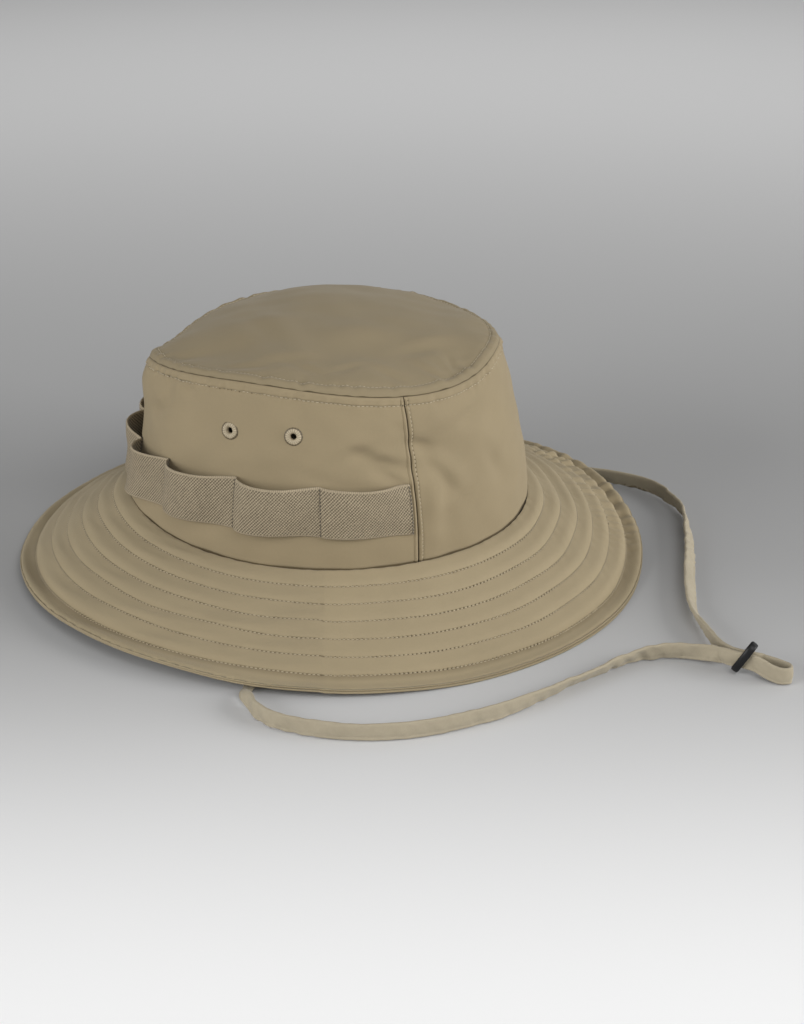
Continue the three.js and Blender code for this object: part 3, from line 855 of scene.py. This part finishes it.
# %% [markdown]
# ## The webbing band
#
# A band of inch-wide webbing runs round the front of the crown from ear to ear. It is longer than
# the wall behind it and is tacked down ten times, so between the tacks it stands off in nine open
# loops. Webbing is stiff across its width and bends only along its length: each loop leaves its
# tack steeply, stands out early, and comes back slowly.

# %% The band's shape
BAND_WIDTH = 25.4
BAND_THICKNESS = 1.3
BAND_CLEAR = 0.3
TACKS = [  # azimuth, height of the middle, how far the next loop stands off
    (-205.2, 63.5, 6.5), (-179.5, 65.5, 7), (-155, 65.5, 6), (-129, 62.6, 6), (-102, 60.6, 6),
    (-78, 58.8, 5.6), (-51, 63.8, 6), (-25, 65.5, 6), (-0.5, 64.8, 3.2), (25.2, 62.4, 0),
]


def at_height(azimuth, height, outward):
    rise = (height - level("foot", azimuth)) / wall_height(azimuth)
    return wall_base(azimuth, rise, wall_relief(azimuth, rise) + outward)


def band_point(place, up, face):
    """place counts tacks from the right ear, up is millimetres from the lower edge."""
    tacks = np.array(TACKS)
    index = np.clip(np.floor(place).astype(int), 0, len(TACKS) - 2)
    share = place - index
    here, there = tacks[index], tacks[index + 1]
    from_front = np.where(index < (len(TACKS) - 2) / 2, 1 - share, share)
    lift = here[..., 2] * np.sin(np.pi * from_front ** 0.62) ** (0.95 + 0.9 * from_front)
    azimuth = np.radians(here[..., 0] + (there[..., 0] - here[..., 0]) * share)
    middle = here[..., 1] + (there[..., 1] - here[..., 1]) * share
    sway = 0.25 * waves(place * 40, up, 18, 51) * np.sin(np.pi * share)
    upright = 0.17 * (up - BAND_WIDTH / 2) * np.sin(np.pi * share)
    outward = BAND_CLEAR + lift + upright + sway + face * BAND_THICKNESS
    return at_height(azimuth, middle + up - BAND_WIDTH / 2, outward)


# %% Build the band
def build_band():
    loops = len(TACKS) - 1
    within = (1 - np.cos(np.pi * np.linspace(0, 1, 41))) / 2
    within = 0.6 * within + 0.4 * np.linspace(0, 1, 41)
    place = np.r_[np.add.outer(np.arange(loops), within[:-1]).ravel(), loops - 1e-6]
    near_edge = np.array([0, 0.2, 0.5, 0.9])
    up = np.r_[near_edge, np.arange(1.8, BAND_WIDTH - 1, 0.9), BAND_WIDTH - near_edge[::-1]]
    grid_place, grid_up = np.meshgrid(place, up)
    rounded = 0.35 * (bump(grid_up, 0.35) + bump(grid_up - BAND_WIDTH, 0.35))
    outside = band_point(grid_place, grid_up, 1 - rounded)
    inside = band_point(grid_place, grid_up, rounded)
    along = running_length(outside[len(up) // 2])
    maps = {"cloth_mm": np.stack(np.broadcast_arrays(along[None, :], grid_up), axis=-1)}
    band = make_shell("webbing", outside, inside, False, maps)
    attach(band, "root")
    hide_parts("webbing_band")
    print(f"webbing: {along[-1]:.0f} mm along its loops")
    return band


webbing = build_band()

# %% Stitches that tack the band down
def tack_row(index):
    up = np.arange(1.2, BAND_WIDTH - 0.8, 1.9)
    place = np.full(len(up), np.clip(index, 0.012, len(TACKS) - 1.012))
    face = np.ones(len(up))
    here, ahead = band_point(place, up, face), band_point(place, up + 0.2, face)
    beside = band_point(place + 0.01, up, face)
    along = unit(ahead - here)
    return here, along, unit(np.cross(beside - here, along))


tack_rows = [tack_row(index) for index in range(len(TACKS))]
webbing_stitches = thread("webbing_stitches", tack_rows, 0.26, length=1.45, lift=0.3)

# %% [markdown]
# ## Eyelets
#
# Two small ventilation holes on each side are sewn round like buttonholes: about twenty radial
# stitches wrap the cloth's cut edge and pull it into a plump ring. A profile turned about the
# hole's axis makes the ring, and lifting the profile once for every stitch makes the threads.

# %% Turn the eyelets
EYELET_STITCHES = 19
EYELET_PROFILE = [  # radius, height above the cloth, how much the threads lift it
    (4.6, -0.25, 0), (4.45, 0.1, 0), (4.0, 0.12, 0.2), (3.8, 0.36, 1), (3.35, 0.72, 1), (2.8, 0.88, 1),
    (2.2, 0.74, 1), (1.75, 0.45, 0.8), (1.5, 0.0, 0.5), (1.42, -0.9, 0.3), (1.5, -1.6, 0.5), (1.9, -2.1, 1),
    (2.8, -2.35, 1), (3.6, -2.1, 1), (4.0, -1.7, 0.3), (4.3, -1.1, 0),
]


def build_eyelet(name, degrees, rise):
    centre, outward = eyelet_place(degrees, rise)
    radius, height, threads = np.array(EYELET_PROFILE).T
    sides = 8 * EYELET_STITCHES
    turn = full_turn(sides)
    across = unit(np.cross([0, 0, 1], outward))
    over = np.cross(outward, across)
    ring = np.cos(turn)[:, None] * across + np.sin(turn)[:, None] * over
    stitch = np.abs(np.sin(turn * EYELET_STITCHES / 2)) ** 0.7
    uneven = 0.16 * waves(turn * 4, 0 * turn, 1.6, 60 + int(degrees) % 7)
    wide = radius + np.outer(uneven, threads) * np.where(radius > 3, 1, 0.6)
    high = height + np.sign(height + 0.9) * 0.2 * np.outer(stitch - 0.5, threads)
    points = centre + wide[..., None] * ring[:, None] + high[..., None] * outward
    count = len(EYELET_PROFILE)
    faces = quads(sides + 1, count, 0, False, True) % (sides * count)
    reach = np.stack(np.broadcast_arrays((turn * EYELET_STITCHES / (2 * np.pi))[:, None], radius), axis=-1)
    maps = {"thread_mm": reach.reshape(-1, 2)}
    eyelet = make_object(f"eyelet_ring_{name}", points.reshape(-1, 3), faces, maps)
    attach(eyelet, "root")
    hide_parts(f"eyelet_{name}")
    return eyelet


eyelets = [build_eyelet(name, degrees, rise) for name, (degrees, rise) in EYELETS.items()]
print("eyelets:", len(eyelets), "with", EYELET_STITCHES, "stitches each")

# %% [markdown]
# ## Small helpers for materials
#
# A material here is a little graph of nodes. A wire is one node's output that can be added,
# subtracted and multiplied like a number, and every such sum is a node of its own. So the
# materials below read as sums. Lengths come from the meshes' own millimetre maps.

# %% Node helpers
class Wire:
    """An output of a node, for sums with other wires and with numbers."""

    def __init__(self, tree, socket):
        self.tree, self.socket = tree, socket

    def __add__(self, other):
        return calc("ADD", self, other)

    def __sub__(self, other):
        return calc("SUBTRACT", self, other)

    def __rsub__(self, other):
        return calc("SUBTRACT", other, self)

    def __mul__(self, other):
        return calc("MULTIPLY", self, other)

    def __abs__(self):
        return calc("ABSOLUTE", self)


def plug(tree, made, inputs):
    """Sets a node's inputs, each to a wire or to a value."""
    for key, value in dict(inputs).items():
        if isinstance(value, Wire):
            tree.links.new(value.socket, made.inputs[key])
        else:
            made.inputs[key].default_value = value


def node(tree, kind, inputs=(), output=0, **settings):
    """A new node, seen through one of its outputs."""
    made = tree.nodes.new(kind)
    for key, value in settings.items():
        setattr(made, key, value)
    plug(tree, made, inputs)
    return Wire(tree, made.outputs[output])


def calc(operation, *values):
    tree = next(value.tree for value in values if isinstance(value, Wire))
    return node(tree, "ShaderNodeMath", enumerate(values), operation=operation)


def vector_calc(operation, inputs, output=0):
    return node(inputs[0].tree, "ShaderNodeVectorMath", inputs, output, operation=operation)


def larger(first, second):
    return calc("MAXIMUM", first, second)


def fade(value, start, stop):
    """1 below start, 0 above stop, with a soft step between them."""
    ends = {"Value": value, "From Min": start, "From Max": stop, "To Min": 1.0, "To Max": 0.0}
    return node(value.tree, "ShaderNodeMapRange", ends, interpolation_type="SMOOTHSTEP")


def between(share, low, high):
    return node(share.tree, "ShaderNodeMapRange", {"Value": share, "To Min": low, "To Max": high})


def noise(place, size_mm, detail=2.0):
    inputs = {"Vector": place, "Scale": 1 / size_mm, "Detail": detail}
    return node(place.tree, "ShaderNodeTexNoise", inputs, "Fac")


def wave_of(value, pitch):
    return calc("SINE", value * (2 * math.pi / pitch))


def map_mm(tree, layer):
    """The two values of one of the mesh's maps: lengths in millimetres, or counts of sewn steps."""
    vector = node(tree, "ShaderNodeUVMap", uv_map=layer)
    return [node(tree, "ShaderNodeSeparateXYZ", {0: vector}, output) for output in (0, 1)]


def place_mm(tree):
    """The place on the object itself, in millimetres."""
    return vector_calc("SCALE", {0: node(tree, "ShaderNodeTexCoord", (), "Object"), "Scale": 1 / MM})


def bumps(height, strength, depth):
    """The normals of a relief whose height of 1 stands for depth metres."""
    return node(height.tree, "ShaderNodeBump", {"Height": height, "Strength": strength, "Distance": depth})


def new_material(name):
    material = bpy.data.materials.new(name)
    material.use_nodes = True
    return material, material.node_tree


def set_shader(material, inputs):
    plug(material.node_tree, material.node_tree.nodes["Principled BSDF"], inputs)
    return material


def wear(material, *pieces):
    for piece in pieces:
        piece.data.materials.append(material)


# %% Colour helpers
WARM_SHADE = (1, 0.9, 0.72)    # shade in khaki cloth is warm: blue goes first


def toned(colour, share):
    return tuple(part * share for part in colour)


def shades(share, dark, light):
    ends = {"Factor": share, "A": (*dark, 1), "B": (*light, 1)}
    return node(share.tree, "ShaderNodeMix", ends, "Result", data_type="RGBA")


def shades_over(colour, mask, keep):
    """Paints shade over a colour where mask is 1, down to the share keep."""
    dark = vector_calc("MULTIPLY", {0: colour, 1: toned(WARM_SHADE, keep)})
    lost = vector_calc("SCALE", {0: vector_calc("SUBTRACT", {0: colour, 1: dark}), "Scale": mask})
    return vector_calc("SUBTRACT", {0: colour, 1: lost})


# %% [markdown]
# ## The hat's cloth
#
# The cloth is a densely woven cotton-like fabric in khaki. Seen close, it has three scales: the
# weave itself, under half a millimetre, which only softens the light; slubs and soft creases a
# few millimetres long; and a slow change of tone where the cloth was pressed and handled. The
# shade in the needle holes is painted as dark dots along the stitch rows, from the same lengths
# that placed the thread, and the shade inside the seams and the brim's grooves is painted as well.

# %% Cloth material
CLOTH_COLOUR = (0.240, 0.191, 0.114)
# Painted shade and light: the top's cloth is a darker copy of the cloth colour, the brim's a lighter, greyer
# one.
TOP_SHADED_COLOUR = (0.209, 0.168, 0.101)
BRIM_LIT_COLOUR = (0.270, 0.219, 0.134)
WEAVE_PITCH = 0.46
# Painted shade: how much of the colour is left where a seam and a needle hole are painted dark.
SEAM_KEEP, HOLE_KEEP = 0.34, 0.3      # how much of the colour is left in a seam and in a hole


def needle_hole_shade(along, off_row):
    """Painted shade in the needle holes: dark dots one stitch apart. off_row is the distance from the row, in
    millimetres.
    """
    step = abs(calc("FRACT", calc("DIVIDE", along, STITCH_PITCH)) - 0.5) * STITCH_PITCH
    reach = calc("SQRT", calc("POWER", step, 2.0) + calc("POWER", off_row, 2.0))
    return fade(reach, 0.1, 0.55)


def cloth_material(name, marks, colour=CLOTH_COLOUR):
    """marks(tree) gives two masks of painted shade: one in the needle holes, one inside the seams."""
    material, tree = new_material(name)
    u, v = map_mm(tree, "cloth_mm")
    place = place_mm(tree)
    weave = wave_of(u, WEAVE_PITCH) * wave_of(v, WEAVE_PITCH)
    slubs = noise(place, 1.3, 3.0)
    tone = noise(place, 22.0, 1.0) * 0.6 + slubs * 0.4 + weave * 0.12
    holes, shade = marks(tree)
    colour = shades_over(shades(tone, toned(colour, 0.9), toned(colour, 1.1)), shade, SEAM_KEEP)
    return set_shader(material, {
        "Base Color": shades_over(colour, holes, HOLE_KEEP),
        "Roughness": between(slubs, 0.72, 0.9),
        "Normal": bumps(weave * 0.03 + slubs * 0.06 - holes * 0.2, 0.55, 0.001),
        "Specular IOR Level": 0.25, "Sheen Weight": 0.12, "Sheen Roughness": 0.5,
        "Sheen Tint": (0.9, 0.85, 0.75, 1)})


# %% Cloth on each piece
def sewn_in(*distances):
    """Shade where the cloth dives into a seam. It is darkest on the seam itself."""
    shade, *others = [fade(distance, 0.0, 0.22) for distance in distances]
    for other in others:
        shade = larger(shade, other)
    return shade


def wall_marks(tree, upright=True):
    """The rows beside the upright seams are sewn on the back wall only."""
    along, below = map_mm(tree, "seam_mm")
    height, edge = map_mm(tree, "edge_mm")
    holes = needle_hole_shade(along, abs(below - TOPSTITCH))
    if upright:
        holes = larger(holes, needle_hole_shade(height, abs(edge - UPRIGHT_STITCH)))
    return holes, sewn_in(below, edge, height)


def top_marks(tree):
    along, inward = map_mm(tree, "seam_mm")
    return needle_hole_shade(along, abs(inward - TOPSTITCH)), sewn_in(inward)


def brim_marks(tree):
    """Painted shade in the grooves of the stitch rows and in the hollow just outside the last one, and in the
    needle holes.
    """
    along, place = map_mm(tree, "seam_mm")
    row = calc("MINIMUM", larger(calc("ROUND", place), 1.0), CHANNELS - 1.0)
    off_row = abs(place - row) * CHANNEL_WIDTH
    past_last = place - (CHANNELS - 1.0)
    # Painted shade: the rows' grooves and the hollow outside the last row are darkened.
    groove_shade = fade(off_row, 0.0, 0.42) * 0.62
    hollow = fade(past_last, 0.03, 0.4) * fade(past_last, 0.0, -0.04) * 0.36
    shade = larger(larger(groove_shade, hollow), sewn_in(place * CHANNEL_WIDTH))
    return needle_hole_shade(along, off_row), shade


wear(cloth_material("front wall cloth", lambda tree: wall_marks(tree, upright=False)), front_wall)
wear(cloth_material("back wall cloth", wall_marks), back_wall)
wear(cloth_material("crown top cloth", top_marks, TOP_SHADED_COLOUR), crown_top)
wear(cloth_material("brim cloth", brim_marks, BRIM_LIT_COLOUR), brim_upper, brim_under)
print("cloth materials done")

# %% [markdown]
# ## Thread, webbing, strap and plastic
#
# Sewing thread is a shade lighter than the cloth and a little shiny, apart from the dark thread
# that tacks the webbing down. The webbing is a coarse twill whose ribs climb to the right, with
# plain woven edges. The strap is the hat's cloth pulled tight, with painted shade along its line
# of stitching, in its needle holes and in the puckers beside it. The eyelets are sewn in thread of
# the same colour as the crown's, with painted shade between their stitches and round their outer
# edge, and the slider is black moulded plastic with a soft shine.

# %% Thread and webbing
def thread_material(name, dark, light):
    material, tree = new_material(name)
    tone = noise(place_mm(tree), 0.8, 2.0)
    return set_shader(material, {
        "Base Color": shades(tone, dark, light), "Normal": bumps(tone, 0.3, 0.0003),
        "Roughness": 0.6, "Sheen Weight": 0.1})


def webbing_material():
    material, tree = new_material("twill webbing")
    u, v = map_mm(tree, "cloth_mm")
    place = place_mm(tree)
    ribs = wave_of(u - v * 0.9, 1.58)
    dots = wave_of(u + v, 1.6)
    picks = noise(place, 0.8, 1.0) - 0.5
    twill = ribs * 0.33 + dots * 0.16 + picks * 0.6
    cords = wave_of(u, 0.95) * 0.18
    selvage = fade(calc("MINIMUM", v, BAND_WIDTH - v), 0.7, 1.1)
    weave = twill * (1.0 - selvage) + (cords + 0.2) * selvage
    tone = weave + 0.5 + (noise(place, 4.0) - 0.5) * 0.2
    return set_shader(material, {
        "Base Color": shades(tone, (0.082, 0.067, 0.043), (0.362, 0.298, 0.203)),
        "Normal": bumps(weave + noise(place, 0.5) * 0.15, 0.8, 0.00035),
        "Roughness": 0.85, "Specular IOR Level": 0.2, "Sheen Weight": 0.08})


wear(webbing_material(), webbing)
for stitches, name, dark, light in (
        (brim_stitches, "cloth thread", (0.29, 0.24, 0.155), (0.42, 0.355, 0.245)),
        (crown_stitches, "crown thread", (0.31, 0.26, 0.172), (0.45, 0.385, 0.27)),
        (webbing_stitches, "webbing thread", (0.055, 0.045, 0.03), (0.11, 0.092, 0.063))):
    wear(thread_material(name, dark, light), stitches)
print("webbing and thread done")

# %% Strap, eyelets and slider
STRAP_STITCH_AT = 9.7          # round the section from its fold to the outer stitch line


def strap_material():
    material, tree = new_material("strap cloth")
    along, round_it = map_mm(tree, "cloth_mm")
    place = place_mm(tree)
    weave = wave_of(along, WEAVE_PITCH) * wave_of(round_it, WEAVE_PITCH)
    creases = noise(place, 2.2, 3.0)
    off_stitch = abs(round_it - STRAP_STITCH_AT)
    # puckered is a mask of painted shade in the puckers beside the stitch line.
    puckered = (fade(abs(round_it - (STRAP_STITCH_AT + 1.2)), 0.6, 1.9)
                * fade(noise(place, 1.7, 1.0), 0.5, 0.4) * fade(noise(place, 22.0, 0.0), 0.6, 0.45))
    tone = noise(place, 14.0) * 0.5 + creases * 0.5
    colour = shades(tone, (0.262, 0.226, 0.158), (0.350, 0.305, 0.222))
    # Painted shade along the sunken stitch line, in its needle holes and in the puckers.
    colour = shades_over(colour, fade(off_stitch, 0.1, 0.55), 0.85)
    colour = shades_over(colour, needle_hole_shade(along, off_stitch), 0.45)
    return set_shader(material, {
        "Base Color": shades_over(colour, puckered, 0.45),
        "Normal": bumps(creases * 0.22 + weave * 0.03, 0.6, 0.001),
        "Roughness": 0.82, "Specular IOR Level": 0.25, "Sheen Weight": 0.12})


def eyelet_material():
    material, tree = new_material("eyelet thread")
    stitch, reach = map_mm(tree, "thread_mm")
    tone = noise(place_mm(tree), 0.9, 2.0)
    colour = shades(tone, (0.29, 0.24, 0.157), (0.42, 0.355, 0.247))
    # Painted shade between the radial stitches and round the ring's outer edge, where the cloth is pulled in.
    colour = shades_over(colour, fade(calc("FRACT", stitch), 0.0, 0.3), 0.36)
    return set_shader(material, {
        "Base Color": shades_over(colour, 1.0 - fade(reach, 3.7, 3.95), 0.3),
        "Normal": bumps(tone, 0.4, 0.0003), "Roughness": 0.6})


def plastic_material():
    material, tree = new_material("black plastic")
    grain = noise(place_mm(tree), 0.7, 3.0)
    return set_shader(material, {
        "Base Color": shades(grain, (0.004, 0.004, 0.0043), (0.011, 0.011, 0.0115)),
        "Roughness": between(grain, 0.32, 0.5), "Normal": bumps(grain, 0.4, 0.00004),
        "Specular IOR Level": 0.25})


wear(strap_material(), strap)
wear(eyelet_material(), *eyelets)
wear(plastic_material(), slider)
print("strap, eyelet and slider materials done")

# %% [markdown]
# ## Floor and light
#
# The hat lies on a plain pale sheet. Light and shade are painted into its colour: its tone changes
# slowly from near to far, lighter in front of the hat, darker under it and lighter again well
# behind, as a studio sweep looks under its own lights, and it is painted darker some metres away,
# where the lamps come near. So the lamps can stay soft and simple: four large ones, at the right,
# at the left, a weaker one above the camera and a faint one behind, and an even grey room.

# %% Lay the floor
# Painted light and shade: how light the paper is painted in front of the hat, under it and well
# behind it, and the share of that lightness that is left some metres away, painted darker where
# the paper comes near the lamps.
PAPER_NEAR, PAPER_SHADED_UNDER, PAPER_FAR, PAPER_DIMMED_EDGE = 0.85, 0.33, 0.7, 0.12
PAPER_HEIGHT = -0.2            # millimetres


def build_floor(reach=20.0, step=41):
    line = np.linspace(-reach, reach, step) / MM
    x, y = np.meshgrid(line, line)
    points = np.stack([x, y, np.full(x.shape, PAPER_HEIGHT)], axis=-1).reshape(-1, 3)
    floor = make_object("studio_floor", points, quads(step, step, 0, False, False))
    material, tree = new_material("studio paper")
    place = node(tree, "ShaderNodeTexCoord", (), "Object")
    depth = node(tree, "ShaderNodeSeparateXYZ", {0: place})
    # Painted light and shade: lighter in front and behind, darker under the hat, darker far away.
    behind = fade(depth, -1.1, -0.1) * (PAPER_FAR - PAPER_SHADED_UNDER)
    front = fade(depth, 0.4, 0) * fade(depth, 0.45, 1.1) * (PAPER_NEAR - PAPER_SHADED_UNDER)
    away = vector_calc("LENGTH", {0: place}, "Value")
    painted_dimming = fade(away, 0.7, 2) * (1 - PAPER_DIMMED_EDGE) + PAPER_DIMMED_EDGE
    set_shader(material, {"Base Color": (behind + front + PAPER_SHADED_UNDER) * painted_dimming, "Roughness": 0.95,
                          "Specular IOR Level": 0.1})
    wear(material, floor)


build_floor()

# %% Set the lights
HAT_MIDDLE = Vector((0, 0.02, 0.06))
LAMP_SIDE = 2.6


def soft_lamp(name, place, power):
    """A large square lamp that faces the hat."""
    data = bpy.data.lights.new(name, "AREA")
    data.shape = "RECTANGLE"
    data.size = data.size_y = LAMP_SIDE
    data.energy = power
    lamp = bpy.data.objects.new(name, data)
    lamp.location = place
    lamp.rotation_euler = (Vector(place) - HAT_MIDDLE).to_track_quat("Z", "Y").to_euler()
    lamp.visible_camera = False
    bpy.context.collection.objects.link(lamp)


soft_lamp("lamp_right", (1, 4, 1.2), 180)
soft_lamp("lamp_left", (2, -3.5, 1.2), 150)
soft_lamp("lamp_camera", (3, 1.2, 3), 80)
soft_lamp("lamp_back", (-2.4, 3, 2.3), 30)
room = bpy.data.worlds.new("grey room")
room.use_nodes = True
room.node_tree.nodes["Background"].inputs[0].default_value = (0.5, 0.5, 0.5, 1)
room.node_tree.nodes["Background"].inputs[1].default_value = 0.40
bpy.context.scene.world = room
